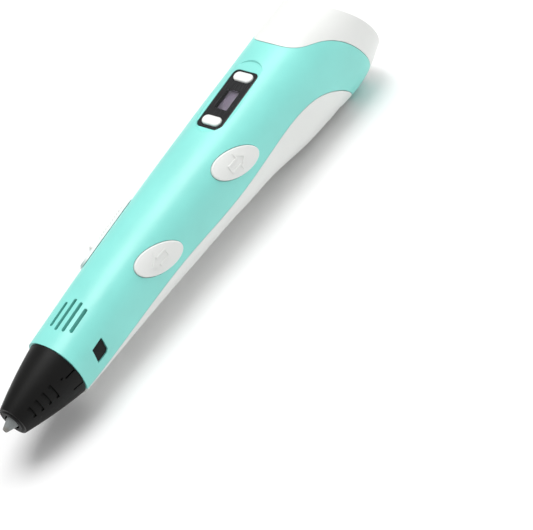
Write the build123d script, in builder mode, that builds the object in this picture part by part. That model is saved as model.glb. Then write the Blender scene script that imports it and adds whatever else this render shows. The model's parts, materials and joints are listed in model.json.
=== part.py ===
from build123d import *
import os
from math import copysign, cos, pi, radians, sin

# Three d pen: a hand-held tool that melts plastic filament and draws with it.
# Frame: origin at the nozzle outlet, +X backwards along the filament path, +Z up through
# the display, so the pen's plane of symmetry is y = 0. All sizes are in millimetres.

os.makedirs("parts", exist_ok=True)

# ---------------------------------------------------------------- driving dimensions
WALL = 1.8               # casing wall
SEAM = 0.15              # gap between casing parts
RUN = 0.05               # radial clearance of a running fit
SLIP = 0.2               # gap round a key in its opening
FILAMENT_R = 0.875
OUTLET_R = 0.35          # nozzle outlet

FRONT_X = 26.5           # front edge of the casing, where the nozzle cover starts
CAP_TOP_X = 151.3        # rear cap's seam on the top line

# Casing sections: x, half width, top, bottom
STATIONS = (
    (20.0, 10.75, 9.7, -10.5),
    (31.0, 11.13, 11.4, -10.55),
    (60.0, 11.87, 15.4, -10.7),
    (95.0, 13.41, 18.6, -11.4),
    (118.0, 14.4, 20.4, -12.2),
    (130.0, 14.88, 21.3, -13.2),
    (142.0, 15.25, 22.25, -15.2),
    (158.0, 15.65, 23.5, -16.0),
    (172.0, 15.9, 24.0, -15.9),
    (190.0, 16.1, 24.2, -8.5),
)
SECTIONS = 14            # sections lofted between the first and last station
SECTION_POINTS = 20
SQUARE_TOP = 2.4         # superellipse exponent of the upper half
SQUARE_BOTTOM = 2.0      # and of the lower half behind the nose
NOSE_BLEND = (31.0, 70.0)   # where the change from nose to body starts, and its length
WIDEST_RISE = 0.04       # widest line above mid height, as a share of the height

# Side view of the seams
KEEL_SEAM = ((20, -6.5), (40, -4.6), (61.6, -1.6), (80, 0.3), (106, 1.1), (126, 4.7),
             (138, 6.2), (150, 4.5), (159, -1.5), (165, -9.5), (168, -17))
CAP_SEAM = ((150.9, 27), (151.4, 23), (154.5, 20.5), (160.6, 18), (164.8, 15.3), (169, 10.4),
            (172.6, 3.4), (174.9, -3.5), (176.2, -12), (176.5, -17))
REAR_ARC = ((169.6, 25.6), (176.7, 15.8), (182.3, 0))
REAR_FOOT = (186.4, -13.7)

# Hot end, along the filament path
COVER_PROFILE = ((4.0, 5.3), (14.0, 8.15), (26.3, 10.8))
COVER_WALL = 1.4
NOZZLE_R = 2.4
HEAT_BREAK_R = 2.0
BRACKET_X = 30.6
FAN_CENTRE = (40.5, 0, 5.1)
FAN_SIZE = 12.0
FAN_DEPTH = 3.8

# Filament drive
FEED_X = 126.0           # drive shaft
DRIVE_R = 4.0
BEARING_R = 3.0
GRIP = 0.9               # from the filament path to each wheel's rim
SHAFT_R = 1.5
DRIVE_Z = DRIVE_R + GRIP
IDLER_Z = -(BEARING_R + GRIP)
WORM_PITCH = 2.0
WHEEL_TEETH = 14
WHEEL_PITCH_R = WHEEL_TEETH * WORM_PITCH / (2 * pi)
WORM_PITCH_R = 2.0
WORM_Y = 6.9
WORM_Z = DRIVE_Z - WHEEL_PITCH_R - WORM_PITCH_R
MOTOR_R = 5.0
MOTOR_X = (135.4, 152.8)
ARM_PIVOT = (119.0, -4.7)   # x, z

# Display panel: its plane leans with the casing's top line
PANEL_X = 127.5
PANEL_Z = 20.2
PANEL_SLOPE = 0.105
PANEL_SIZE = (24.0, 10.5)
PILL_X = (-9.0, 9.4)     # temperature keys, from the panel's centre
PILL_SIZE = (3.6, 7.8)
WINDOW_SIZE = (8.0, 5.3)

# Feed keys: centre on the casing's side, and the slope of their travel
KEY_CENTRES = {"load": (70.3, -11.7, 8.5), "unload": (110.8, -13.2, 11.7)}
KEY_TILT = 20.0
KEY_SIZE = (9.4, 4.6)    # half axes
KEY_LEAN = -20.0         # the rear end of each key is the lower one
KEY_TRAVEL = 0.4
SWITCH_RISE = 2.5        # top of a feed switch above its board
KEY_PROUD = 0.55
KEY_BOARD_DEPTH = 7.2    # key board's face, measured from the filament path

# Speed slider on the far side
SLIDER_CENTRE = (70.8, 10.6, 11.3)
SLIDER_TILT = 30.0
SLIDER_SIZE = (28.0, 7.0)
SLIDER_RISE = (28.0, 1.0, 2.4)   # direction of its travel
SLIDER_TRAVEL = 10.0

JACK_Z = 11.0
JACK_BORE_R = 2.85
CAP_WALL = 2.0

COVER_SCREWS = ((52.0, 5.6), (158.5, 9.0))   # x and half spacing
SPLIT_Z = -5.6           # where the screw bosses of casing and underside cover meet


def save(piece, name):
    """Label a finished piece and write it as its own node."""
    piece.part.label = name
    export_step(piece.part, f"parts/{name}.step")


# ---------------------------------------------------------------- casing surfaces
def slope_at(index, column):
    """Slope of one column of STATIONS, from the stations on each side."""
    before = STATIONS[max(index - 1, 0)]
    after = STATIONS[min(index + 1, len(STATIONS) - 1)]
    return (after[column] - before[column]) / (after[0] - before[0])


def profile_at(x):
    """Half width, top and bottom at x, on smooth curves through the stations."""
    index = max(i for i in range(len(STATIONS) - 1) if STATIONS[i][0] <= x)
    low, high = STATIONS[index], STATIONS[index + 1]
    span = high[0] - low[0]
    t = (x - low[0]) / span
    values = []
    for column in (1, 2, 3):
        leave, arrive = slope_at(index, column) * span, slope_at(index + 1, column) * span
        rise = high[column] - low[column]
        values.append(low[column] + t * leave + t * t * (3 * rise - 2 * leave - arrive)
                      + t ** 3 * (leave + arrive - 2 * rise))
    return values


def section_points(x, inset):
    """Points round the casing section at x, moved inwards by inset."""
    half_width, top, bottom = profile_at(x)
    blend = min(max((x - NOSE_BLEND[0]) / NOSE_BLEND[1], 0), 1)
    middle = (top + bottom) / 2 + WIDEST_RISE * blend * (top - bottom)
    points = []
    for step in range(SECTION_POINTS):
        turn = 2 * pi * step / SECTION_POINTS
        across, up = cos(turn), sin(turn)
        square = SQUARE_TOP
        height = top - inset - middle
        if up < 0:
            square = SQUARE_TOP + (SQUARE_BOTTOM - SQUARE_TOP) * blend
            height = middle - bottom - inset
        points.append((
            (half_width - inset) * copysign(abs(across) ** (2 / square), across),
            middle + height * copysign(abs(up) ** (2 / square), up),
        ))
    return points


def skin(inset):
    """Solid inside the casing's surface, moved inwards by inset or outwards if negative."""
    with BuildPart() as body:
        for step in range(SECTIONS + 1):
            x = STATIONS[0][0] + (STATIONS[-1][0] - STATIONS[0][0]) * step / SECTIONS
            with BuildSketch(Plane.YZ.offset(x)):
                with BuildLine():
                    Spline(*section_points(x, inset), periodic=True)
                make_face()
        loft()
    return body.part


def keel_region(shift):
    """Side view of all that lies under the underside cover's seam, moved by shift."""
    points = [(x - shift, z - shift) for x, z in KEEL_SEAM]
    with BuildSketch(Plane.XZ) as region:
        with BuildLine():
            seam = Spline(*points)
            Polyline(seam @ 1, (168 - shift, -40), (20 - shift, -40), seam @ 0)
        make_face()
    return region.sketch


def cap_region(shift):
    """Side view of all that lies behind the rear cap's seam, moved by shift."""
    points = [(x + shift, z + shift / 2) for x, z in CAP_SEAM]
    with BuildSketch(Plane.XZ) as region:
        with BuildLine():
            seam = Spline(*points)
            Polyline(seam @ 1, (220, -17), (220, 27), seam @ 0)
        make_face()
    return region.sketch


def rear_region(shift):
    """Side view of all that lies in front of the slanted rear face, moved forwards by shift."""
    start, middle, end = [(x - shift, z) for x, z in REAR_ARC]
    foot = (REAR_FOOT[0] - shift, REAR_FOOT[1])
    front = FRONT_X - 2 * shift
    with BuildSketch(Plane.XZ) as region:
        with BuildLine():
            ThreePointArc(start, middle, end)
            Polyline(end, foot, (foot[0] + 0.9, -40), (front, -40), (front, start[1]), start)
        make_face()
    return region.sketch


def panel_plane(x=0, y=0, z=0):
    """Plane on the display panel, its Z out of the panel and its X backwards."""
    base = Plane(origin=(PANEL_X, 0, PANEL_Z), x_dir=(1, 0, PANEL_SLOPE), z_dir=(-PANEL_SLOPE, 0, 1))
    return base.offset(z).shift_origin(base.offset(z).from_local_coords((x, y, 0)))


def side_plane(centre, tilt, depth=0):
    """Plane on the near side (tilt up from -Y), its Z outwards and its X backwards."""
    out = (0, -cos(radians(tilt)), sin(radians(tilt)))
    origin = (centre[0], centre[1] - out[1] * depth, centre[2] - out[2] * depth)
    return Plane(origin=origin, x_dir=(1, 0, 0), z_dir=out)


def slider_plane(depth=0):
    """Plane on the far side under the speed slider, its Z outwards and its X along the travel."""
    out = Vector(0, cos(radians(SLIDER_TILT)), sin(radians(SLIDER_TILT)))
    along = Vector(*SLIDER_RISE).normalized()
    out = (out - along * out.dot(along)).normalized()
    return Plane(origin=Vector(*SLIDER_CENTRE) - out * depth, x_dir=along, z_dir=out)


def outward(plane):
    """Axis through the plane's origin along its Z, for choosing the outermost face."""
    return Axis(plane.origin, plane.z_dir)


def boss(x, y, radius, low, high):
    """Upright round column."""
    with BuildPart() as column:
        with BuildSketch(Plane.XY.offset(low)):
            with Locations((x, y)):
                Circle(radius)
        extrude(amount=high - low)
    return column.part


outer = skin(0)
cavity = skin(WALL)
near_skin = skin(0.12)
mid_skin = skin(WALL / 2)

with BuildPart() as casing_solid:
    add(outer)
    extrude(rear_region(0), amount=40, both=True, mode=Mode.INTERSECT)
with BuildPart() as casing_hollow:
    add(cavity)
    extrude(rear_region(CAP_WALL), amount=40, both=True, mode=Mode.INTERSECT)

casing_wall = casing_solid.part - casing_hollow.part

cover_screw_places = [(x, side * y) for x, y in COVER_SCREWS for side in (-1, 1)]
board_posts = [(x, side * 4.3) for x in (-15.3, 19.6) for side in (-1, 1)]

# Vent slots over the fan: y, front end, rear end
VENTS = ((2.75, 33.2, 42.4), (0.0, 32.5, 44.3), (-2.75, 32.9, 43.9), (-5.3, 33.8, 42.8))


# ---------------------------------------------------------------- main shell
def latch_window(grow):
    """Leaning rounded window for the nozzle cover's catch, seen from the near side."""
    with BuildSketch(Plane.XZ) as window:
        with BuildLine():
            Polyline((34.2, 4.3), (39.2, 5.1), (38.9, 0.2), (37.9, -0.7), (33.6, -1.1), close=True)
        make_face()
        offset(amount=grow, kind=Kind.INTERSECTION)
        fillet(window.vertices(), 0.45)
    return window.sketch


# pocket of the mesh behind the vents, and the slots that open into it
SCREEN_AREA = ((38.6, -1.3), (14.0, 11.2))   # centre and size

with BuildPart() as screen_pocket:
    with BuildSketch(Plane.XY):
        with Locations(SCREEN_AREA[0]):
            RectangleRounded(SCREEN_AREA[1][0] + 0.4, SCREEN_AREA[1][1] + 0.4, 1.2)
    extrude(amount=20)
    add(skin(WALL + 0.6), mode=Mode.SUBTRACT)

with BuildPart() as vent_slots:
    for y, front, rear in VENTS:
        with BuildSketch(Plane.XY):
            with Locations(((front + rear) / 2, y)):
                SlotOverall(rear - front, 1.2)
        extrude(amount=20)
    add(skin(WALL + 0.3), mode=Mode.SUBTRACT)

# the part of the underside cover's wall that the shell's bosses keep clear of
with BuildPart() as cover_wall:
    add(mid_skin)
    add(skin(WALL + SEAM), mode=Mode.SUBTRACT)
    extrude(keel_region(-SEAM), amount=40, both=True, mode=Mode.INTERSECT)

with BuildPart() as shell_fittings:
    # rib behind the hot end bracket, with a notch for the nozzle cover's catch
    with BuildSketch(Plane.YZ.offset(BRACKET_X + 2.05)):
        Circle(10.3)
        Circle(7.2, mode=Mode.SUBTRACT)
        with Locations((-9, 1.7)):
            Rectangle(4.8, 6.4, mode=Mode.SUBTRACT)
    extrude(amount=1.4)
    # bosses of the underside cover's screws
    for x, y in cover_screw_places:
        add(boss(x, y, 2.0, SPLIT_Z + SEAM, 40))
    # posts of the main board
    for x, y in board_posts:
        with BuildSketch(panel_plane(x, y, -4.6)):
            Circle(1.5)
        extrude(amount=20)
    add(mid_skin, mode=Mode.INTERSECT)
    add(screen_pocket.part, mode=Mode.SUBTRACT)
    add(cover_wall.part, mode=Mode.SUBTRACT)
    extrude(cap_region(-SEAM), amount=40, both=True, mode=Mode.SUBTRACT)

with BuildPart() as main_shell:
    add(casing_wall)
    extrude(keel_region(0), amount=40, both=True, mode=Mode.SUBTRACT)
    extrude(cap_region(0), amount=40, both=True, mode=Mode.SUBTRACT)
    add(shell_fittings.part)
    for x, y in cover_screw_places:
        add(boss(x, y, 0.8, SPLIT_Z - 1, 6), mode=Mode.SUBTRACT)
    for x, y in board_posts:
        with BuildSketch(panel_plane(x, y, -5)):
            Circle(0.6)
        extrude(amount=4, mode=Mode.SUBTRACT)
    # dish round the display panel, deeper behind it as a thumb scoop
    with BuildSketch(panel_plane()):
        with Locations((-7.2, 0)):
            Circle(6.2)
        with Locations((8.6, 0)):
            Circle(7.4)
        make_hull()
    extrude(amount=4, taper=-40, mode=Mode.SUBTRACT)
    with BuildSketch(panel_plane(z=-8)):
        RectangleRounded(PANEL_SIZE[0] + 0.2, PANEL_SIZE[1] + 0.2, 2.1)
    extrude(amount=10, mode=Mode.SUBTRACT)
    # openings
    add(vent_slots.part, mode=Mode.SUBTRACT)
    extrude(latch_window(0.0), amount=20, mode=Mode.SUBTRACT)
    for centre in KEY_CENTRES.values():
        with BuildSketch(side_plane(centre, KEY_TILT, 5)):
            Ellipse(KEY_SIZE[0] + SLIP, KEY_SIZE[1] + SLIP, rotation=KEY_LEAN)
        extrude(amount=9, mode=Mode.SUBTRACT)
    with BuildSketch(slider_plane(5)):
        SlotOverall(SLIDER_TRAVEL + 8, 3.0)
    extrude(amount=9, mode=Mode.SUBTRACT)
save(main_shell, "main_shell")

# ---------------------------------------------------------------- underside cover
with BuildPart() as cover_bosses:
    for x, y in cover_screw_places:
        add(boss(x, y, 2.2, -40, SPLIT_Z))
    add(mid_skin, mode=Mode.INTERSECT)

with BuildPart() as bottom_cover:
    add(casing_wall)
    extrude(keel_region(SEAM), amount=40, both=True, mode=Mode.INTERSECT)
    add(cover_bosses.part)
    for x, y in cover_screw_places:
        add(boss(x, y, 1.1, -40, 0), mode=Mode.SUBTRACT)
        add(boss(x, y, 1.9, -40, SPLIT_Z - 2.2), mode=Mode.SUBTRACT)
save(bottom_cover, "bottom_cover")

# ---------------------------------------------------------------- rear cap
with BuildPart() as rear_cap:
    add(casing_wall)
    extrude(cap_region(SEAM), amount=40, both=True, mode=Mode.INTERSECT)
    with BuildSketch(Plane.YZ.offset(170)):
        with Locations((0, JACK_Z)):
            Circle(4.1)
        Circle(2.5)
    extrude(amount=30, mode=Mode.SUBTRACT)
save(rear_cap, "rear_cap")

# ---------------------------------------------------------------- nozzle cover and its catch
def radial_plane(angle):
    """Plane through the filament path whose Y points to the near side, raised by angle."""
    return Plane(origin=(0, 0, 0), x_dir=(1, 0, 0), z_dir=(0, -sin(radians(angle)), -cos(radians(angle))))


with BuildPart() as nozzle_cover:
    with BuildSketch(Plane.XY):
        with BuildLine():
            flank = ThreePointArc(*COVER_PROFILE)
            Polyline(flank @ 1, (26.3, 8.5), (29.6, 8.5), (29.6, 7.4), (25.6, 7.4), (25.6, 9.0))
            inside = ThreePointArc((25.6, 9.0), (14.0, 8.15 - COVER_WALL), (5.6, 4.5))
            Polyline(inside @ 1, (4.0, 4.5), flank @ 0)
        make_face()
    revolve(axis=Axis.X)
    # cooling grooves on both flanks
    for x, radius in ((8.2, 6.15), (11.1, 7.0), (14.1, 7.72), (17.1, 8.42)):
        for start in (35, 178):
            with BuildSketch(radial_plane(start)):
                with Locations((x, radius + 1.2)):
                    Rectangle(1.15, 2.4)
            revolve(axis=Axis.X, revolution_arc=33, mode=Mode.SUBTRACT)
    # slits each side of the catch's tab
    for angle in (21.5, -8.5):
        with BuildSketch(radial_plane(angle)):
            with Locations((26.0, 9.0)):
                Rectangle(7.4, 6.0)
        extrude(amount=0.25, both=True, mode=Mode.SUBTRACT)
    # room for the catch's arm
    with BuildSketch(Plane.XZ.offset(6.0)):
        with Locations((26.2, 1.7)):
            Rectangle(10.5, 5.6)
    extrude(amount=2.95, mode=Mode.SUBTRACT)
save(nozzle_cover, "nozzle_cover")

CATCH_PIVOT = (21.9, -8.0)   # x, y

with BuildPart() as catch_pad:
    extrude(latch_window(-0.3), amount=20)
    add(skin(0.35), mode=Mode.INTERSECT)
    with BuildSketch(Plane.XZ):
        Rectangle(100, 100)
    extrude(amount=8.3, mode=Mode.SUBTRACT)

with BuildPart() as nozzle_latch:
    with BuildSketch(Plane.XZ.offset(7.3)):
        with Locations((31.0, 1.7)):
            Rectangle(18.4, 4.6)
    extrude(amount=1.1)
    with BuildSketch(Plane.XY.offset(-0.6)):
        with Locations(CATCH_PIVOT):
            Circle(0.75)
    extrude(amount=4.6)
    add(catch_pad.part)
save(nozzle_latch, "nozzle_latch")


# ---------------------------------------------------------------- hot end
def turned(name, points, axis=Axis.X):
    """Body of revolution about the filament path, from its half profile (x, radius)."""
    with BuildPart() as piece:
        with BuildSketch(Plane.XY):
            with BuildLine():
                Polyline(*points, close=True)
            make_face()
        revolve(axis=axis)
    save(piece, name)
    return piece


def rod(name, radius, start, end, bore=0.0, y=0.0, z=0.0):
    """Round bar or tube along X."""
    with BuildPart() as piece:
        with BuildSketch(Plane.YZ.offset(start)):
            with Locations((y, z)):
                Circle(radius)
                if bore:
                    Circle(bore, mode=Mode.SUBTRACT)
        extrude(amount=end - start)
    if name:
        save(piece, name)
    return piece.part


nozzle_collar = turned("nozzle_collar", (
    (3.6, 2.75), (3.6, 3.9), (4.1, 4.4), (6.4, 4.4), (6.4, 3.6), (5.2, 3.6), (5.2, 2.75)))
ceramic_nozzle = turned("ceramic_nozzle", (
    (0, OUTLET_R), (0, 0.8), (0.3, 0.95), (4.4, NOZZLE_R), (7.0, NOZZLE_R), (7.0, 3.3), (8.4, 3.3),
    (8.4, NOZZLE_R), (11.0, NOZZLE_R), (11.0, 1.0), (2.6, 1.0), (1.6, OUTLET_R)))

HEATER_BOX = ((11.05, 21.0), 3.4, (-5.0, 3.4))   # x span, half width, z span
CARTRIDGE_Z = -3.3

with BuildPart() as heater_block:
    (block_front, block_rear), block_side, (block_low, block_high) = HEATER_BOX
    with BuildSketch(Plane.YZ.offset(block_front)):
        with Locations((0, (block_low + block_high) / 2)):
            RectangleRounded(2 * block_side, block_high - block_low, 0.8)
        Circle(1.0, mode=Mode.SUBTRACT)
        with Locations((0, CARTRIDGE_Z)):
            Circle(1.05, mode=Mode.SUBTRACT)
        with Locations((2.6, -3.9)):
            Circle(0.6, mode=Mode.SUBTRACT)
    extrude(amount=block_rear - block_front)
    with BuildSketch(Plane.YZ.offset(15.0)):
        Circle(HEAT_BREAK_R + RUN)
    extrude(amount=10, mode=Mode.SUBTRACT)
save(heater_block, "heater_block")

rod("heater_cartridge", 1.0, 11.6, 21.8, z=CARTRIDGE_Z)
rod("thermistor", 0.55, 13.0, 21.4, y=2.6, z=-3.9)
rod("heat_break", HEAT_BREAK_R, 15.05, 33.6, bore=1.0)

BRACKET_SCREWS = ((-5.2, -4.6), (5.2, -4.6), (0.0, 6.9))   # y, z

with BuildPart() as hot_end_bracket:
    with BuildSketch(Plane.YZ.offset(BRACKET_X)):
        Circle(8.5)
        Circle(HEAT_BREAK_R + RUN, mode=Mode.SUBTRACT)
        with Locations((0, -4.6)):
            SlotOverall(5.0, 2.4, mode=Mode.SUBTRACT)
        with Locations((4.4, 3.6)):
            Circle(1.5, mode=Mode.SUBTRACT)
        with Locations((-8.4, 1.7)):
            Rectangle(3.6, 6.2, mode=Mode.SUBTRACT)
        with Locations(*BRACKET_SCREWS):
            Circle(0.75, mode=Mode.SUBTRACT)
    extrude(amount=2.0)
    with BuildSketch(Plane.YZ.offset(BRACKET_X + 2.0)):
        Circle(3.0)
        Circle(HEAT_BREAK_R + RUN, mode=Mode.SUBTRACT)
    extrude(amount=2.2)
save(hot_end_bracket, "hot_end_bracket")


def screw(plane, head_radius, head_height, radius, length):
    """Pan head screw with its seat at the plane and its shank against the plane's Z."""
    with BuildPart() as piece:
        with BuildSketch(plane):
            Circle(head_radius)
        extrude(amount=head_height)
        with BuildSketch(plane.offset(head_height)):
            Rectangle(head_radius * 1.2, 0.3)
            Rectangle(0.3, head_radius * 1.2)
        extrude(amount=-0.4 * head_height, mode=Mode.SUBTRACT)
        with BuildSketch(plane):
            Circle(radius)
        extrude(amount=-length)
    return piece.part


def screw_group(name, planes, head_radius, head_height, radius, length):
    """One node for a set of equal screws."""
    with BuildPart() as group:
        for plane in planes:
            add(screw(plane, head_radius, head_height, radius, length))
    save(group, name)


screw_group("bracket_screws",
            [Plane(origin=(BRACKET_X, y, z), x_dir=(0, 1, 0), z_dir=(-1, 0, 0))
             for y, z in BRACKET_SCREWS], 1.2, 0.8, 0.7, 2.0)
screw_group("cover_screws",
            [Plane(origin=(x, y, SPLIT_Z - 2.2), x_dir=(1, 0, 0), z_dir=(0, 0, -1))
             for x, y in cover_screw_places], 1.8, 1.1, 0.78, 9.0)

# ---------------------------------------------------------------- cooling fan and vent screen
fan_x, fan_y, fan_z = FAN_CENTRE
fan_low = fan_z - FAN_DEPTH / 2

with BuildPart() as fan_housing:
    with BuildSketch(Plane.XY.offset(fan_low)):
        with Locations((fan_x, 0)):
            RectangleRounded(FAN_SIZE, FAN_SIZE, 1.2)
            Circle(FAN_SIZE / 2 - 0.5, mode=Mode.SUBTRACT)
            Circle(2.4)
            with PolarLocations(0, 3):
                with Locations((3.9, 0)):
                    Rectangle(3.8, 0.8)
    extrude(amount=0.6)
    with BuildSketch(Plane.XY.offset(fan_low + 0.6)):
        with Locations((fan_x, 0)):
            RectangleRounded(FAN_SIZE, FAN_SIZE, 1.2)
            Circle(FAN_SIZE / 2 - 0.5, mode=Mode.SUBTRACT)
            Circle(0.5)
    extrude(amount=FAN_DEPTH - 0.6)
save(fan_housing, "fan_housing")

with BuildPart() as fan_rotor:
    with BuildSketch(Plane.XY.offset(fan_low + 0.9)):
        with Locations((fan_x, 0)):
            Circle(2.3)
            with PolarLocations(0, 7):
                with Locations((3.5, 0)):
                    Rectangle(3.2, 0.5, rotation=38)
    extrude(amount=FAN_DEPTH - 1.3)
    with BuildSketch(Plane.XY.offset(fan_low)):
        with Locations((fan_x, 0)):
            Circle(0.5 + RUN)
    extrude(amount=FAN_DEPTH + 1, mode=Mode.SUBTRACT)
save(fan_rotor, "fan_rotor")

with BuildPart() as vent_screen:
    with BuildSketch(Plane.XY):
        with Locations(SCREEN_AREA[0]):
            RectangleRounded(*SCREEN_AREA[1], 1.0)
    extrude(amount=20)
    add(skin(WALL + 0.1), mode=Mode.INTERSECT)
    add(skin(WALL + 0.5), mode=Mode.SUBTRACT)
save(vent_screen, "vent_screen")

# ---------------------------------------------------------------- filament drive
PLATE_Y = (3.0, 4.1)
FRAME_X = (116.6, 134.6)
FLANGE_REACH = 3.2       # motor flange beyond the motor's axis

rod("guide_tube", 2.0, 35.0, 120.6, bore=1.1)
rod("entry_tube", 1.4, 131.4, 179.3, bore=1.05)
turned("inlet_ferrule", (
    (179.4, 1.75), (179.4, 2.15), (180.2, 2.4), (183.4, 2.4), (183.4, 3.4), (184.0, 3.4),
    (184.5, 2.9), (184.5, 2.15), (184.1, 1.75)))

with BuildPart() as feed_frame:
    with BuildSketch(Plane.XZ.offset(-PLATE_Y[1])):
        with Locations(((FRAME_X[0] + FRAME_X[1]) / 2, 0)):
            RectangleRounded(FRAME_X[1] - FRAME_X[0], 18.0, 1.5)
    extrude(amount=2 * PLATE_Y[1])
    with BuildSketch(Plane.XZ.offset(-PLATE_Y[0])):
        with Locations((FEED_X - 0.4, 0.6)):
            Rectangle(30, 17.0)
    extrude(amount=2 * PLATE_Y[0], mode=Mode.SUBTRACT)
    for x in (FRAME_X[0] + 1.8, FRAME_X[1] - 1.4):
        with BuildSketch(Plane.XZ.offset(-PLATE_Y[0])):
            with Locations((x, 0)):
                Rectangle(2.8 if x > FEED_X else 3.6, 5.2)
        extrude(amount=2 * PLATE_Y[0])
    with BuildSketch(Plane.YZ.offset(105)):
        Circle(2.0 + RUN)
    extrude(amount=20, mode=Mode.SUBTRACT)
    with BuildSketch(Plane.YZ.offset(125)):
        Circle(1.4 + RUN)
    extrude(amount=20, mode=Mode.SUBTRACT)
    # seats of the shaft bushes and the arm's pin
    with BuildSketch(Plane.XZ.offset(-10)):
        with Locations((FEED_X, DRIVE_Z)):
            Circle(2.4)
        with Locations(ARM_PIVOT):
            Circle(0.8)
    extrude(amount=20, mode=Mode.SUBTRACT)
    # motor flange
    with BuildSketch(Plane.YZ.offset(FRAME_X[1] - 1.4)):
        with Locations(((PLATE_Y[0] + WORM_Y + FLANGE_REACH) / 2, WORM_Z)):
            Rectangle(WORM_Y + FLANGE_REACH - PLATE_Y[0], 8.4)
        with Locations((WORM_Y, WORM_Z)):
            Circle(1.6, mode=Mode.SUBTRACT)
        with Locations((WORM_Y, WORM_Z + 3.1), (WORM_Y, WORM_Z - 3.1)):
            Circle(0.65, mode=Mode.SUBTRACT)
    extrude(amount=1.4)
save(feed_frame, "feed_frame")


def cross_bar(radius, low, high, x, z, bore=0.0):
    """Round bar or ring along Y."""
    with BuildPart() as bar:
        with BuildSketch(Plane.XZ.offset(-high)):
            with Locations((x, z)):
                Circle(radius)
                if bore:
                    Circle(bore, mode=Mode.SUBTRACT)
        extrude(amount=high - low)
    return bar.part


with BuildPart() as shaft_bushes:
    for side in (-1, 1):
        low, high = sorted((side * PLATE_Y[0], side * (PLATE_Y[1] + 0.5)))
        add(cross_bar(2.4, low, high, FEED_X, DRIVE_Z, bore=SHAFT_R + RUN))
save(shaft_bushes, "shaft_bushes")

with BuildPart() as drive_shaft:
    add(cross_bar(SHAFT_R, -5.6, 8.6, FEED_X, DRIVE_Z))
    with BuildSketch(Plane.XZ.offset(-8.6)):
        with Locations((FEED_X, DRIVE_Z + SHAFT_R)):
            Rectangle(4, 0.5)
    extrude(amount=3.0, mode=Mode.SUBTRACT)
save(drive_shaft, "drive_shaft")

with BuildPart() as drive_wheel:
    add(cross_bar(DRIVE_R, -1.9, 1.9, FEED_X, DRIVE_Z))
    with BuildSketch(Plane.XZ.offset(-3)):
        with Locations((FEED_X, DRIVE_Z)):
            with PolarLocations(DRIVE_R, 26):
                Rectangle(0.5, 0.5, rotation=45)
    extrude(amount=6, mode=Mode.SUBTRACT)
    add(cross_bar(SHAFT_R, -3, 3, FEED_X, DRIVE_Z), mode=Mode.SUBTRACT)
    # hollow rim that centres the filament
    with BuildSketch(Plane.YZ.offset(FEED_X)):
        with Locations((0, DRIVE_Z - DRIVE_R - 0.75)):
            Circle(1.0)
    revolve(axis=Axis((FEED_X, 0, DRIVE_Z), (0, 1, 0)), mode=Mode.SUBTRACT)
save(drive_wheel, "drive_wheel")

TOOTH = 0.62             # tooth and thread width at the pitch line
TOOTH_HEIGHT = 0.55      # above and below the pitch line

with BuildPart() as worm_wheel:
    add(cross_bar(WHEEL_PITCH_R - TOOTH_HEIGHT - 0.15, WORM_Y - 1.2, WORM_Y + 1.2, FEED_X, DRIVE_Z))
    with BuildSketch(Plane.XZ.offset(-WORM_Y - 1.2)):
        with Locations((FEED_X, DRIVE_Z)):
            with PolarLocations(WHEEL_PITCH_R - 0.15, WHEEL_TEETH, start_angle=-90):
                Trapezoid(TOOTH * 1.6, 2 * TOOTH_HEIGHT + 0.3, 76, rotation=-90)
    extrude(amount=2.4)
    add(cross_bar(SHAFT_R, 0, 12, FEED_X, DRIVE_Z), mode=Mode.SUBTRACT)
save(worm_wheel, "worm_wheel")

WORM_X = (120.3, 131.2)
THREAD_START = FEED_X - 2.5 * WORM_PITCH   # puts a thread gap under the wheel's lowest tooth
THREAD_ROOT = WORM_PITCH_R - TOOTH_HEIGHT - 0.15

with BuildPart() as worm_thread:
    with BuildLine() as thread_path:
        Helix(pitch=WORM_PITCH, height=4 * WORM_PITCH, radius=THREAD_ROOT)
    with BuildSketch(Plane(origin=thread_path.line @ 0, x_dir=(1, 0, 0), z_dir=thread_path.line % 0)):
        with BuildLine():
            Polyline((-0.15, -0.5), (2 * TOOTH_HEIGHT + 0.1, -0.2), (2 * TOOTH_HEIGHT + 0.1, 0.2),
                     (-0.15, 0.5), close=True)
        make_face()
    sweep(path=thread_path.line, is_frenet=True)

with BuildPart() as worm:
    add(rod("", THREAD_ROOT, *WORM_X, y=WORM_Y, z=WORM_Z))
    add(Plane(origin=(THREAD_START, WORM_Y, WORM_Z), x_dir=(0, 0, 1), z_dir=(1, 0, 0))
        * worm_thread.part)
    add(rod("", 0.75, 100, 140, y=WORM_Y, z=WORM_Z), mode=Mode.SUBTRACT)
save(worm, "worm")

rod("motor_shaft", 0.75, WORM_X[0] - 0.8, MOTOR_X[0] + 2.0, y=WORM_Y, z=WORM_Z)

with BuildPart() as motor_can:
    add(rod("", MOTOR_R, MOTOR_X[0], MOTOR_X[1], y=WORM_Y, z=WORM_Z))
    add(rod("", MOTOR_R - 0.5, MOTOR_X[0] + 0.8, MOTOR_X[1] + 1, y=WORM_Y, z=WORM_Z),
        mode=Mode.SUBTRACT)
    add(rod("", 1.5, MOTOR_X[0] - 1.0, MOTOR_X[0], y=WORM_Y, z=WORM_Z))
    add(rod("", 0.75 + RUN, MOTOR_X[0] - 2, MOTOR_X[0] + 4, y=WORM_Y, z=WORM_Z), mode=Mode.SUBTRACT)
    for rise in (-3.1, 3.1):
        add(rod("", 0.55, MOTOR_X[0] - 1, MOTOR_X[0] + 2, y=WORM_Y, z=WORM_Z + rise),
            mode=Mode.SUBTRACT)
save(motor_can, "motor_can")

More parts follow.
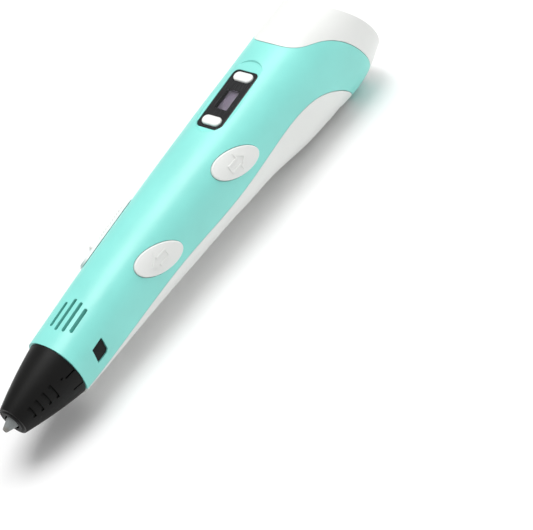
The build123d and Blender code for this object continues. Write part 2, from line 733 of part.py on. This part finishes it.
with BuildPart() as motor_end_cap:
    add(rod("", MOTOR_R - 0.55, MOTOR_X[1] - 2.0, MOTOR_X[1], y=WORM_Y, z=WORM_Z))
    add(rod("", MOTOR_R, MOTOR_X[1] + 0.02, MOTOR_X[1] + 0.8, y=WORM_Y, z=WORM_Z))
    add(rod("", MOTOR_R - 1, MOTOR_X[1] - 0.5, MOTOR_X[1] + 0.4, y=WORM_Y, z=WORM_Z))
    with BuildSketch(Plane.YZ.offset(MOTOR_X[1] + 0.8)):
        with Locations((WORM_Y, WORM_Z + 2.6), (WORM_Y, WORM_Z - 2.6)):
            Rectangle(1.6, 0.4)
    extrude(amount=2.0)
save(motor_end_cap, "motor_end_cap")

screw_group("motor_screws",
            [Plane(origin=(FRAME_X[1] - 1.4, WORM_Y, WORM_Z + rise), x_dir=(0, 1, 0), z_dir=(-1, 0, 0))
             for rise in (-3.1, 3.1)], 1.0, 0.6, 0.5, 3.0)

# ---------------------------------------------------------------- idler
with BuildPart() as idler_arm:
    with BuildSketch(Plane.XZ.offset(-2.85)):
        with BuildLine():
            Polyline((ARM_PIVOT[0] - 1.2, ARM_PIVOT[1] + 1.2), (FEED_X + 3, -2.2), (FEED_X + 7, -3.8),
                     (FEED_X + 7, -6.6), (FEED_X + 2, -6.6), (ARM_PIVOT[0] - 1.2, ARM_PIVOT[1] - 1.4),
                     close=True)
        make_face()
    extrude(amount=5.7)
    with BuildSketch(Plane.XZ.offset(-2.05)):
        with Locations((FEED_X - 2.6, -4)):
            Rectangle(14.6, 9)
    extrude(amount=4.1, mode=Mode.SUBTRACT)
    with BuildSketch(Plane.XZ.offset(-10)):
        with Locations(ARM_PIVOT):
            Circle(0.75 + RUN)
        with Locations((FEED_X, IDLER_Z)):
            Circle(1.0)
    extrude(amount=20, mode=Mode.SUBTRACT)
save(idler_arm, "idler_arm")

with BuildPart() as idler_pivot_pin:
    add(cross_bar(0.75, -PLATE_Y[1], PLATE_Y[1], *ARM_PIVOT))
    add(cross_bar(0.79, PLATE_Y[0] + 0.1, PLATE_Y[1], *ARM_PIVOT))
save(idler_pivot_pin, "idler_pivot_pin")

with BuildPart() as idler_axle:
    add(cross_bar(1.0, -2.85, 2.85, FEED_X, IDLER_Z))
save(idler_axle, "idler_axle")

with BuildPart() as idler_bearing:
    add(cross_bar(BEARING_R, -1.5, 1.5, FEED_X, IDLER_Z, bore=1.0 + RUN))
    add(cross_bar(BEARING_R - 0.6, 1.3, 1.6, FEED_X, IDLER_Z, bore=1.7), mode=Mode.SUBTRACT)
    add(cross_bar(BEARING_R - 0.6, -1.6, -1.3, FEED_X, IDLER_Z, bore=1.7), mode=Mode.SUBTRACT)
save(idler_bearing, "idler_bearing")

SPRING_X = FEED_X + 6.0
SPRING_Z = (-7.85, -6.65)

with BuildPart() as idler_spring:
    with BuildLine() as spring_path:
        Helix(pitch=0.42, height=SPRING_Z[1] - SPRING_Z[0] - 0.3, radius=0.9,
              center=(SPRING_X, 0, SPRING_Z[0] + 0.15))
    with BuildSketch(Plane(origin=spring_path.line @ 0, z_dir=spring_path.line % 0)):
        Circle(0.14)
    sweep(path=spring_path.line, is_frenet=True)
save(idler_spring, "idler_spring")

# ---------------------------------------------------------------- display, keys and boards
BOARD_LOW, BOARD_TOP = -5.8, -4.6
BOARD_X = (-17.6, 22.0)

with BuildPart() as main_board:
    with BuildSketch(panel_plane((BOARD_X[0] + BOARD_X[1]) / 2, 0, BOARD_LOW)):
        RectangleRounded(BOARD_X[1] - BOARD_X[0], 13.6, 1.0)
    extrude(amount=BOARD_TOP - BOARD_LOW)
    for x, y in board_posts:
        with BuildSketch(panel_plane(x, y, BOARD_LOW - 1)):
            Circle(0.65)
        extrude(amount=4, mode=Mode.SUBTRACT)
save(main_board, "main_board")

screw_group("board_screws",
            [Plane(origin=plane.origin, x_dir=plane.x_dir, z_dir=-plane.z_dir)
             for plane in (panel_plane(x, y, BOARD_LOW) for x, y in board_posts)],
            1.15, 0.7, 0.58, 4.0)

# Chips under the board: x, y, length, width, height
CHIPS = ((-9.0, 0.5, 7.0, 6.0, 1.2), (2.0, -1.5, 5.0, 4.4, 1.0), (10.0, 1.5, 4.0, 6.0, 2.0),
         (-1.0, 4.2, 2.0, 1.2, 0.6), (3.5, 4.4, 2.0, 1.2, 0.6), (15.0, -2.5, 3.2, 3.2, 2.4))

with BuildPart() as board_chips:
    for x, y, length, width, height in CHIPS:
        with BuildSketch(panel_plane(x, y, BOARD_LOW)):
            Rectangle(length, width)
        extrude(amount=-height)
save(board_chips, "board_chips")

with BuildPart() as display_module:
    with BuildSketch(panel_plane(0, 0, BOARD_TOP)):
        RectangleRounded(11.6, 8.6, 0.4)
    extrude(amount=1.6)
    with BuildSketch(panel_plane(0.3, 0, BOARD_TOP + 1.6)):
        Rectangle(10.2, 7.6)
    extrude(amount=1.0)
save(display_module, "display_module")

with BuildPart() as display_window:
    with BuildSketch(panel_plane(0, 0, -1.2)):
        RectangleRounded(*WINDOW_SIZE, 0.4)
    extrude(amount=1.1)
save(display_window, "display_window")

with BuildPart() as display_bezel:
    with BuildSketch(panel_plane(0, 0, -1.5)):
        RectangleRounded(*PANEL_SIZE, 2.0)
        RectangleRounded(WINDOW_SIZE[0], WINDOW_SIZE[1], 0.4, mode=Mode.SUBTRACT)
        with Locations(*[(x, 0) for x in PILL_X]):
            SlotOverall(PILL_SIZE[1] + 0.3, PILL_SIZE[0] + 0.3, rotation=90, mode=Mode.SUBTRACT)
    extrude(amount=1.5)
    fillet(display_bezel.faces().sort_by(outward(panel_plane()))[-1].outer_wire().edges(), 0.25)
    for x, y in ((-6.2, 4.6), (-6.2, -4.6), (6.6, 4.6), (6.6, -4.6)):
        with BuildSketch(panel_plane(x, y, BOARD_TOP)):
            Circle(0.55)
        extrude(amount=-BOARD_TOP - 1.5)
save(display_bezel, "display_bezel")

for name, x in zip(("temp_down_button", "temp_up_button"), PILL_X):
    with BuildPart() as pill:
        with BuildSketch(panel_plane(x, 0, -2.1)):
            SlotOverall(PILL_SIZE[1] + 1.2, PILL_SIZE[0] + 1.2, rotation=90)
        extrude(amount=0.5)
        with BuildSketch(panel_plane(x, 0, -1.6)):
            SlotOverall(PILL_SIZE[1], PILL_SIZE[0], rotation=90)
        extrude(amount=2.2)
        fillet(pill.faces().sort_by(outward(panel_plane()))[-1].edges(), 0.5)
    save(pill, name)

with BuildPart() as temp_switches:
    for x in PILL_X:
        with BuildSketch(panel_plane(x, 0, BOARD_TOP)):
            Rectangle(3.4, 4.6)
        extrude(amount=1.5)
        with BuildSketch(panel_plane(x, 0, BOARD_TOP + 1.5)):
            Circle(0.9)
        extrude(amount=0.4)
save(temp_switches, "temp_switches")

# Feed keys, their switches and their board on the near side
KEY_BOARD_X = (60.5, 115.4)


def key_depth(centre):
    """Distance from the key board's face to the key's outer middle."""
    rise = radians(KEY_TILT)
    return -centre[1] * cos(rise) + centre[2] * sin(rise) - KEY_BOARD_DEPTH


def arrow(pointing):
    """Plain block arrow, pointing along X, to be raised on a key."""
    with BuildSketch() as mark:
        with BuildLine():
            Polyline((4.0 * pointing, 0), (0.6 * pointing, 3.3), (0.6 * pointing, 1.5),
                     (-3.4 * pointing, 1.5), (-3.4 * pointing, -1.5), (0.6 * pointing, -1.5),
                     (0.6 * pointing, -3.3), close=True)
        make_face()
        offset(amount=-0.55, kind=Kind.INTERSECTION, mode=Mode.SUBTRACT)
    return mark.sketch


proud_skin = skin(-KEY_PROUD)
arrow_skin = skin(-KEY_PROUD - 0.22)

for key, pointing in (("load", -1), ("unload", 1)):
    centre = KEY_CENTRES[key]
    plane = side_plane(centre, KEY_TILT, 6)
    with BuildPart() as arrow_blank:
        extrude(plane * arrow(pointing), amount=12)
        add(arrow_skin, mode=Mode.INTERSECT)
        add(near_skin, mode=Mode.SUBTRACT)
    with BuildPart() as flange_blank:
        with BuildSketch(plane.offset(2.2)):
            Ellipse(KEY_SIZE[0] + 0.9, KEY_SIZE[1] + 0.5, rotation=KEY_LEAN)
        extrude(amount=6)
        add(skin(WALL + 0.25), mode=Mode.INTERSECT)
        add(skin(WALL + 1.15), mode=Mode.SUBTRACT)
    with BuildPart() as feed_key:
        with BuildSketch(plane):
            Ellipse(*KEY_SIZE, rotation=KEY_LEAN)
        extrude(amount=12)
        add(proud_skin, mode=Mode.INTERSECT)
        add(skin(WALL + 0.9), mode=Mode.SUBTRACT)
        fillet(feed_key.faces().sort_by(outward(plane))[-1].edges(), 0.35)
        add(arrow_blank.part)
        add(flange_blank.part)
        stem_end = key_depth(centre) - SWITCH_RISE - KEY_TRAVEL - 0.1
        with BuildSketch(side_plane(centre, KEY_TILT, stem_end)):
            Circle(1.8)
        extrude(amount=stem_end - WALL - 0.6)
    save(feed_key, f"{key}_button")

with BuildPart() as feed_switches:
    for centre in KEY_CENTRES.values():
        base = side_plane(centre, KEY_TILT, key_depth(centre))
        with BuildSketch(base):
            RectangleRounded(6.0, 6.0, 0.5)
        extrude(amount=1.9)
        with BuildSketch(base.offset(1.9)):
            Circle(1.6)
        extrude(amount=0.6)
save(feed_switches, "feed_switches")

with BuildPart() as key_board:
    lower = KEY_CENTRES["load"]
    middle = (sum(KEY_BOARD_X) / 2, lower[1], lower[2] + 1.2)
    depth = key_depth(middle)
    with BuildSketch(side_plane(middle, KEY_TILT, depth)):
        RectangleRounded(KEY_BOARD_X[1] - KEY_BOARD_X[0], 8.4, 0.8)
    extrude(amount=-1.0)
save(key_board, "key_board")

# ---------------------------------------------------------------- speed slider
with BuildPart() as slider_plate:
    with BuildSketch(slider_plane(6)):
        RectangleRounded(*SLIDER_SIZE, 2.6)
    extrude(amount=12)
    add(skin(-0.95), mode=Mode.INTERSECT)
    add(skin(-SEAM), mode=Mode.SUBTRACT)

with BuildPart() as speed_slider:
    add(slider_plate.part)
    # ribs
    with BuildSketch(slider_plane(-0.2)):
        with Locations(*[(-3.0 + 1.25 * step, 0) for step in range(11)]):
            RectangleRounded(0.6, 5.4, 0.25)
    extrude(amount=0.85)
    # nub for the thumb
    with BuildSketch(slider_plane(-0.2)):
        with Locations((-7.0, 0)):
            SlotOverall(5.6, 1.6, rotation=90)
    extrude(amount=1.7, taper=12)
    # stem through the casing
    with BuildSketch(slider_plane(4.2)):
        SlotOverall(6.4, 2.6)
    extrude(amount=4.6)
    with BuildSketch(slider_plane(4.3)):
        with Locations((0, 0)):
            Rectangle(2.3, 1.3)
    extrude(amount=1.6, mode=Mode.SUBTRACT)
save(speed_slider, "speed_slider")

with BuildPart() as slide_pot_body:
    with BuildSketch(slider_plane(8.2)):
        Rectangle(24.0, 6.4)
    extrude(amount=2.6)
    with BuildSketch(slider_plane(7.0)):
        SlotOverall(SLIDER_TRAVEL + 3.4, 1.6)
    extrude(amount=3, mode=Mode.SUBTRACT)
save(slide_pot_body, "slide_pot_body")

with BuildPart() as slide_pot_lever:
    with BuildSketch(slider_plane(6.9)):
        Rectangle(2.2, 1.2)
    extrude(amount=4.1)
save(slide_pot_lever, "slide_pot_lever")

# ---------------------------------------------------------------- power inlet
JACK_X = (163.0, 173.2, 175.8)   # rear of the body, its front shoulder, mouth

with BuildPart() as dc_jack:
    with BuildSketch(Plane.YZ.offset(JACK_X[0])):
        with Locations((0, JACK_Z)):
            RectangleRounded(9.0, 8.6, 0.8)
    extrude(amount=JACK_X[1] - JACK_X[0])
    add(rod("", 3.9, JACK_X[1], JACK_X[2], z=JACK_Z))
    add(rod("", JACK_BORE_R, JACK_X[0] + 1.6, JACK_X[2] + 1, z=JACK_Z), mode=Mode.SUBTRACT)
save(dc_jack, "dc_jack")

with BuildPart() as dc_jack_pin:
    add(rod("", 0.95, JACK_X[0] + 1.65, JACK_X[2] - 2.6, z=JACK_Z))
    fillet(dc_jack_pin.edges().sort_by(Axis.X)[-1], 0.4)
save(dc_jack_pin, "dc_jack_pin")


# ---------------------------------------------------------------- wire looms
def loom(name, radius, bend, *points):
    """Wires held inside the casing: straight runs with an arc at each turn."""
    with BuildPart() as wire:
        with BuildLine() as route:
            FilletPolyline(*points, radius=bend)
        with BuildSketch(Plane(origin=route.line @ 0, z_dir=route.line % 0)):
            Circle(radius)
        sweep(path=route.line)
    save(wire, name)


loom("heater_leads", 0.6, 1.5, (22.0, 0, CARTRIDGE_Z), (27.0, 0, -4.6), (58.0, 0, -5.6),
     (90.0, -1.5, -5.6), (98.0, -3.2, -1.5), (103.0, -2.4, 5.0), (109.2, -0.8, 12.4))
loom("fan_leads", 0.5, 1.5, (fan_x + FAN_SIZE / 2 + 0.1, 2.4, 5.0), (56.0, 2.8, 4.4),
     (92.0, 2.8, 4.6), (109.2, 2.4, 12.6))
loom("motor_leads", 0.55, 1.5, (155.7, WORM_Y, WORM_Z - 0.6), (158.8, 4.6, 0.6),
     (157.6, 4.4, 10.0), (150.4, 2.4, 16.4))
loom("power_leads", 0.6, 1.5, (162.9, 0, 10.4), (158.0, -0.8, 11.0), (155.2, -1.6, 14.6),
     (150.4, -2.4, 16.4))
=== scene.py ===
import json
import math
import bpy
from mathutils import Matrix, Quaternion, Vector


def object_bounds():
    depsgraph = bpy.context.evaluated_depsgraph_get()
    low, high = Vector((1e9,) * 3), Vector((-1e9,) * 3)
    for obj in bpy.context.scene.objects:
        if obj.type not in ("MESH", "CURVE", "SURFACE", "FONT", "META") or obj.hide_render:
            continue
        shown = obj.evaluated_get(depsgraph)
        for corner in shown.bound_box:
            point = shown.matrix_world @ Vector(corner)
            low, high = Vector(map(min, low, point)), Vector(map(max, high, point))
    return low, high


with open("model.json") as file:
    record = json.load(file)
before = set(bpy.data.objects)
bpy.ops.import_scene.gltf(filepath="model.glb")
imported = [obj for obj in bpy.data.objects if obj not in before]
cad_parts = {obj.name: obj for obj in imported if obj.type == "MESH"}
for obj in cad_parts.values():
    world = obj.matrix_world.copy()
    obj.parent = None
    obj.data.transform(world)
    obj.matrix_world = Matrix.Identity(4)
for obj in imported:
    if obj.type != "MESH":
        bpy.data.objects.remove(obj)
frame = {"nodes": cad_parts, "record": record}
cad_box = [list(corner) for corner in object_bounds()]

MM = 0.001
NODES = frame["nodes"]
SLOT_OF = {part["node"]: part["material_slot"] for part in frame["record"]["subparts"]}

# ---------------------------------------------------------------- camera
CAMERA_PLACE = Vector((-222.96, -531.43, 506.39)) * MM
CAMERA_AIM = Vector((97.3, -22.2, -19.2)) * MM
CAMERA_ROLL = math.radians(-27.96)      # the camera leans to the right
LENS = 168.71
SENSOR_WIDTH = 36.0
NEAREST = 0.01                          # metres from the camera

camera_data = bpy.data.cameras.new("camera")
camera_data.lens = LENS
camera_data.sensor_width = SENSOR_WIDTH
camera_data.clip_start = NEAREST
camera = bpy.data.objects.new("camera", camera_data)
camera.location = CAMERA_PLACE
camera.rotation_mode = "QUATERNION"
upright = (CAMERA_AIM - CAMERA_PLACE).to_track_quat("-Z", "Y")
camera.rotation_quaternion = upright @ Quaternion((0, 0, 1), CAMERA_ROLL)
bpy.context.scene.collection.objects.link(camera)
bpy.context.scene.camera = camera

# ---------------------------------------------------------------- studio
bpy.context.scene.view_settings.view_transform = "Standard"


# name, place in metres, power in watts, side in metres
LAMPS = (
    ("key_light", (0.30, 0.10, 1.0), 8.2, 0.7),
    ("fill_light", (-0.5, -1.1, 0.5), 0.7, 0.9),
    ("rear_light", (0.9, -0.2, 0.6), 2.4, 0.7),
)
SKY_COLOUR = (1.0, 1.0, 1.0, 1.0)
SKY_STRENGTH = 0.45


def soft_light(name, place, power, size):
    """Large square lamp that faces the middle of the pen."""
    data = bpy.data.lights.new(name, "AREA")
    data.energy = power
    data.size = size
    lamp = bpy.data.objects.new(name, data)
    lamp.location = place
    middle = (Vector(cad_box[0]) + Vector(cad_box[1])) / 2
    lamp.rotation_euler = (middle - lamp.location).to_track_quat("-Z", "Y").to_euler()
    bpy.context.scene.collection.objects.link(lamp)


for lamp_name, lamp_place, lamp_power, lamp_size in LAMPS:
    soft_light(lamp_name, Vector(lamp_place), lamp_power, lamp_size)

world = bpy.data.worlds.new("studio")
world.use_nodes = True
sky = world.node_tree.nodes["Background"]
sky.inputs["Color"].default_value = SKY_COLOUR
sky.inputs["Strength"].default_value = SKY_STRENGTH
bpy.context.scene.world = world


# ---------------------------------------------------------------- shader helpers
def new_surface(name):
    """New material, with its node tree and its shader."""
    mat = bpy.data.materials.new(name)
    mat.use_nodes = True
    tree = mat.node_tree
    return mat, tree, tree.nodes["Principled BSDF"]


def place_of(tree, stretch=(1, 1, 1)):
    """Where a point is on the pen, in metres, with each axis stretched."""
    coords = tree.nodes.new("ShaderNodeTexCoord")
    mapping = tree.nodes.new("ShaderNodeMapping")
    mapping.inputs["Scale"].default_value = stretch
    tree.links.new(coords.outputs["Object"], mapping.inputs["Vector"])
    return mapping.outputs["Vector"]


def noise(tree, grain_mm, detail=2.0, stretch=(1, 1, 1), rough=0.5):
    """Noise whose features are about grain_mm across."""
    texture = tree.nodes.new("ShaderNodeTexNoise")
    texture.inputs["Scale"].default_value = 1.0 / (grain_mm * MM)
    texture.inputs["Detail"].default_value = detail
    texture.inputs["Roughness"].default_value = rough
    tree.links.new(place_of(tree, stretch), texture.inputs["Vector"])
    return texture.outputs["Fac"]


def remap(tree, value, low, high, start=0.0, end=1.0):
    """value from low to high, as a number from start to end."""
    node = tree.nodes.new("ShaderNodeMapRange")
    node.inputs["From Min"].default_value = low
    node.inputs["From Max"].default_value = high
    node.inputs["To Min"].default_value = start
    node.inputs["To Max"].default_value = end
    tree.links.new(value, node.inputs["Value"])
    return node.outputs["Result"]


def mixed(tree, factor, first, second):
    """Colour that goes from first to second; each is a colour or a socket."""
    node = tree.nodes.new("ShaderNodeMix")
    node.data_type = "RGBA"
    tree.links.new(factor, node.inputs["Factor"])
    for socket, colour in (("A", first), ("B", second)):
        target = [s for s in node.inputs if s.name == socket and s.type == "RGBA"][0]
        if isinstance(colour, bpy.types.NodeSocket):
            tree.links.new(colour, target)
        else:
            target.default_value = (*colour, 1.0)
    return [s for s in node.outputs if s.type == "RGBA"][0]


def math_node(tree, operation, first, second):
    """Result of one operation on two values; each is a number or a socket."""
    node = tree.nodes.new("ShaderNodeMath")
    node.operation = operation
    for socket, value in zip(node.inputs, (first, second)):
        if isinstance(value, bpy.types.NodeSocket):
            tree.links.new(value, socket)
        else:
            socket.default_value = value
    return node.outputs["Value"]


def relief(tree, shader, height, depth_mm):
    """Raises the surface, for the light only, by height times depth_mm."""
    bump = tree.nodes.new("ShaderNodeBump")
    bump.inputs["Distance"].default_value = depth_mm * MM
    bump.inputs["Strength"].default_value = 1.0
    tree.links.new(height, bump.inputs["Height"])
    tree.links.new(bump.outputs["Normal"], shader.inputs["Normal"])


def shade(colour, factor):
    """colour made lighter or darker, kept under white."""
    return tuple(min(channel * factor, 1.0) for channel in colour)


# ---------------------------------------------------------------- materials
def moulded(name, colour, roughness, grain_mm=0.35, depth_mm=0.012, cloud=0.04, gloss=0.5):
    """Moulded plastic: spark-eroded grain, faint flow clouds, and patches polished by handling."""
    mat, tree, shader = new_surface(name)
    clouds = remap(tree, noise(tree, 18, 3), 0.3, 0.7)
    tone = mixed(tree, clouds, shade(colour, 1 - cloud), shade(colour, 1 + cloud))
    specks = remap(tree, noise(tree, 0.9, 4), 0.62, 0.8, 0.0, 0.35)
    tree.links.new(mixed(tree, specks, tone, shade(colour, 0.93)), shader.inputs["Base Color"])
    polish = remap(tree, noise(tree, 9, 4), 0.25, 0.75, roughness - 0.05, roughness + 0.06)
    tree.links.new(polish, shader.inputs["Roughness"])
    shader.inputs["Specular IOR Level"].default_value = gloss
    relief(tree, shader, noise(tree, grain_mm, 3), depth_mm)
    return mat


def gloss_black(name):
    """Polished black plastic with hairline scuffs."""
    mat, tree, shader = new_surface(name)
    smears = remap(tree, noise(tree, 5, 4, rough=0.6), 0.35, 0.75)
    tree.links.new(mixed(tree, smears, (0.006, 0.006, 0.007), (0.012, 0.012, 0.013)),
                   shader.inputs["Base Color"])
    scuffs = noise(tree, 0.5, 3, stretch=(0.12, 1.0, 1.0))
    tree.links.new(remap(tree, scuffs, 0.3, 0.8, 0.16, 0.34), shader.inputs["Roughness"])
    relief(tree, shader, scuffs, 0.002)
    return mat


def clear_window(name):
    """Clear acrylic with faint dust."""
    mat, tree, shader = new_surface(name)
    dust = remap(tree, noise(tree, 0.35, 3), 0.55, 0.8, 0.02, 0.14)
    tree.links.new(dust, shader.inputs["Roughness"])
    tree.links.new(mixed(tree, noise(tree, 3), (0.90, 0.90, 0.93), (0.97, 0.97, 1.0)),
                   shader.inputs["Base Color"])
    shader.inputs["Transmission Weight"].default_value = 1.0
    shader.inputs["IOR"].default_value = 1.49
    return mat


CELL_MM = 0.36


def display_glass(name):
    """Switched-off display: violet grey glass over a fine grid of cells, with a faint haze."""
    mat, tree, shader = new_surface(name)
    cells = tree.nodes.new("ShaderNodeTexBrick")
    cells.offset = 0.0
    cells.inputs["Scale"].default_value = 1.0 / (CELL_MM * MM)
    cells.inputs["Mortar Size"].default_value = 0.06
    cells.inputs["Color1"].default_value = (0.40, 0.33, 0.43, 1.0)
    cells.inputs["Color2"].default_value = (0.44, 0.36, 0.47, 1.0)
    cells.inputs["Mortar"].default_value = (0.33, 0.28, 0.36, 1.0)
    cells.inputs["Brick Width"].default_value = 1.0
    cells.inputs["Row Height"].default_value = 1.0
    tree.links.new(place_of(tree), cells.inputs["Vector"])
    haze = remap(tree, noise(tree, 2.5, 2), 0.3, 0.7)
    tree.links.new(mixed(tree, haze, cells.outputs["Color"], (0.36, 0.31, 0.39)),
                   shader.inputs["Base Color"])
    tree.links.new(remap(tree, haze, 0, 1, 0.12, 0.22), shader.inputs["Roughness"])
    relief(tree, shader, cells.outputs["Fac"], 0.004)
    return mat


SCORCH_MM = 0.9          # how far the browning runs up from the outlet


def ceramic(name, colour):
    """Unglazed ceramic with a mineral speckle, browned by heat towards the outlet."""
    mat, tree, shader = new_surface(name)
    speckle = remap(tree, noise(tree, 0.25, 5, rough=0.7), 0.35, 0.7)
    body = mixed(tree, speckle, shade(colour, 0.88), shade(colour, 1.05))
    split = tree.nodes.new("ShaderNodeSeparateXYZ")
    tree.links.new(place_of(tree), split.inputs["Vector"])
    wobble = math_node(tree, "MULTIPLY", noise(tree, 0.8, 3), 0.8 * MM)
    along = math_node(tree, "SUBTRACT", split.outputs["X"], wobble)
    scorch = remap(tree, along, 0.0, SCORCH_MM * MM, 0.45, 0.0)
    tree.links.new(mixed(tree, scorch, body, (0.20, 0.16, 0.12)), shader.inputs["Base Color"])
    tree.links.new(remap(tree, speckle, 0, 1, 0.38, 0.55), shader.inputs["Roughness"])
    relief(tree, shader, speckle, 0.008)
    return mat


def metal(name, colour, roughness, stretch=(1, 1, 1), grain_mm=0.2, tint=(0.5, 0.42, 0.32)):
    """Bare metal with tool marks along one direction and a faint stain."""
    mat, tree, shader = new_surface(name)
    shader.inputs["Metallic"].default_value = 1.0
    marks = noise(tree, grain_mm, 4, stretch=stretch, rough=0.65)
    stain = remap(tree, noise(tree, 4, 3), 0.55, 0.85, 0.0, 0.35)
    bright = mixed(tree, marks, shade(colour, 0.86), shade(colour, 1.08))
    tree.links.new(mixed(tree, stain, bright, tint), shader.inputs["Base Color"])
    tree.links.new(remap(tree, marks, 0.25, 0.75, roughness - 0.08, roughness + 0.1),
                   shader.inputs["Roughness"])
    relief(tree, shader, marks, 0.006)
    return mat


TRACK_CELL_MM = 2.4
TRACK_RINGS = 28.0


def circuit_board(name):
    """Solder mask over raised copper tracks, with a scatter of pads."""
    mat, tree, shader = new_surface(name)
    tracks = tree.nodes.new("ShaderNodeTexVoronoi")
    tracks.distance = "MANHATTAN"
    tracks.feature = "F1"
    tracks.inputs["Scale"].default_value = 1.0 / (TRACK_CELL_MM * MM)
    tree.links.new(place_of(tree), tracks.inputs["Vector"])
    phase = math_node(tree, "MULTIPLY", tracks.outputs["Distance"], TRACK_RINGS)
    rings = math_node(tree, "SINE", phase, 0.0)
    copper = remap(tree, rings, 0.1, 0.3)
    mask = mixed(tree, copper, (0.012, 0.085, 0.04), (0.03, 0.16, 0.075))
    pads = remap(tree, tracks.outputs["Distance"], 0.13, 0.11)
    tree.links.new(mixed(tree, pads, mask, (0.62, 0.55, 0.32)), shader.inputs["Base Color"])
    tree.links.new(remap(tree, noise(tree, 1.5, 3), 0.3, 0.7, 0.22, 0.38), shader.inputs["Roughness"])
    relief(tree, shader, copper, 0.03)
    return mat


def wire_sheath(name, colour):
    """Insulated wire, dulled and slightly waved along its length."""
    mat, tree, shader = new_surface(name)
    waves = noise(tree, 1.2, 2, stretch=(0.4, 1.0, 1.0))
    tree.links.new(mixed(tree, waves, shade(colour, 0.7), shade(colour, 1.25)),
                   shader.inputs["Base Color"])
    tree.links.new(remap(tree, waves, 0.3, 0.7, 0.42, 0.58), shader.inputs["Roughness"])
    relief(tree, shader, waves, 0.03)
    return mat


WIRE_PITCH_MM = 0.9


def woven_mesh(name):
    """Fine dark green wire cloth behind the vents, with a painted highlight along each strand's crown
    and painted shade in the gaps between strands.
    """
    mat, tree, shader = new_surface(name)
    bands = 1.0 / (WIRE_PITCH_MM * MM) / 2
    strands = []
    for direction in ("X", "Y"):
        wave = tree.nodes.new("ShaderNodeTexWave")
        wave.bands_direction = direction
        wave.inputs["Scale"].default_value = bands
        tree.links.new(place_of(tree), wave.inputs["Vector"])
        strands.append(wave.outputs["Fac"])
    weave = math_node(tree, "MAXIMUM", *strands)
    # painted highlight and painted shade: strand crowns are coloured lighter, and the gaps between
    # strands are coloured near black
    crown_highlight_gap_shade = remap(tree, weave, 0.55, 0.9)
    tree.links.new(mixed(tree, crown_highlight_gap_shade, (0.008, 0.03, 0.028), (0.05, 0.15, 0.14)),
                   shader.inputs["Base Color"])
    tree.links.new(remap(tree, noise(tree, 0.8), 0.3, 0.7, 0.45, 0.6), shader.inputs["Roughness"])
    relief(tree, shader, weave, 0.12)
    return mat


TEAL = (0.255, 0.760, 0.690)
WHITE = (0.825, 0.835, 0.815)
BLACK = (0.0055, 0.0055, 0.0052)

FINISHES = {
    "shell_teal": moulded("teal_shell", TEAL, 0.38, gloss=0.6),
    "white_plastic": moulded("white_plastic", WHITE, 0.42, cloud=0.015),
    "black_matte": moulded("black_plastic", BLACK, 0.44, grain_mm=0.3, depth_mm=0.02, cloud=0.25,
                           gloss=0.16),
    "black_gloss": gloss_black("black_bezel"),
    "window_clear": clear_window("window"),
    "display_grey": display_glass("display"),
    "ceramic_pale": ceramic("ceramic", (0.26, 0.28, 0.28)),
    "collar_grey": moulded("collar_plastic", (0.009, 0.009, 0.009), 0.5, depth_mm=0.02, cloud=0.2,
                           gloss=0.16),
    "brass": metal("brass", (0.72, 0.52, 0.24), 0.28, stretch=(1.0, 0.15, 0.15)),
    "steel": metal("steel", (0.56, 0.57, 0.58), 0.30, stretch=(0.12, 1.0, 1.0), tint=(0.4, 0.38, 0.36)),
    "nylon_pale": moulded("nylon", (0.62, 0.60, 0.53), 0.5, cloud=0.05),
    "liner_white": moulded("liner", (0.80, 0.80, 0.78), 0.3, cloud=0.03),
    "board_green": circuit_board("circuit_board"),
    "chip_black": moulded("chip_epoxy", (0.025, 0.025, 0.027), 0.55, depth_mm=0.02, cloud=0.3),
    "wire_red": wire_sheath("wire_sheath", (0.40, 0.03, 0.02)),
}
SPECIAL = {
    "vent_screen": woven_mesh("vent_mesh"),
}

SHARP_ANGLE = math.radians(32)

for name, node in NODES.items():
    finish = SPECIAL.get(name, FINISHES[SLOT_OF[name]])
    node.data.materials.clear()
    node.data.materials.append(finish)
    node.data.polygons.foreach_set("use_smooth", [True] * len(node.data.polygons))
    node.data.set_sharp_from_angle(angle=SHARP_ANGLE)

# ---------------------------------------------------------------- floor
FLOOR_HALF = 3.0         # metres from the middle to an edge
low = cad_box[0][2]
corners = [(x * FLOOR_HALF, y * FLOOR_HALF, low) for x, y in ((-1, -1), (1, -1), (1, 1), (-1, 1))]
floor_data = bpy.data.meshes.new("floor")
floor_data.from_pydata(corners, [], [(0, 1, 2, 3)])
floor = bpy.data.objects.new("floor", floor_data)
bpy.context.scene.collection.objects.link(floor)
floor_mat, floor_tree, floor_shader = new_surface("paper_floor")
paper = remap(floor_tree, noise(floor_tree, 60, 2), 0.3, 0.7)
floor_tree.links.new(mixed(floor_tree, paper, (0.93, 0.93, 0.93), (0.95, 0.95, 0.95)),
                     floor_shader.inputs["Base Color"])
floor_shader.inputs["Roughness"].default_value = 0.9
floor_shader.inputs["Specular IOR Level"].default_value = 0.1
floor_data.materials.append(floor_mat)
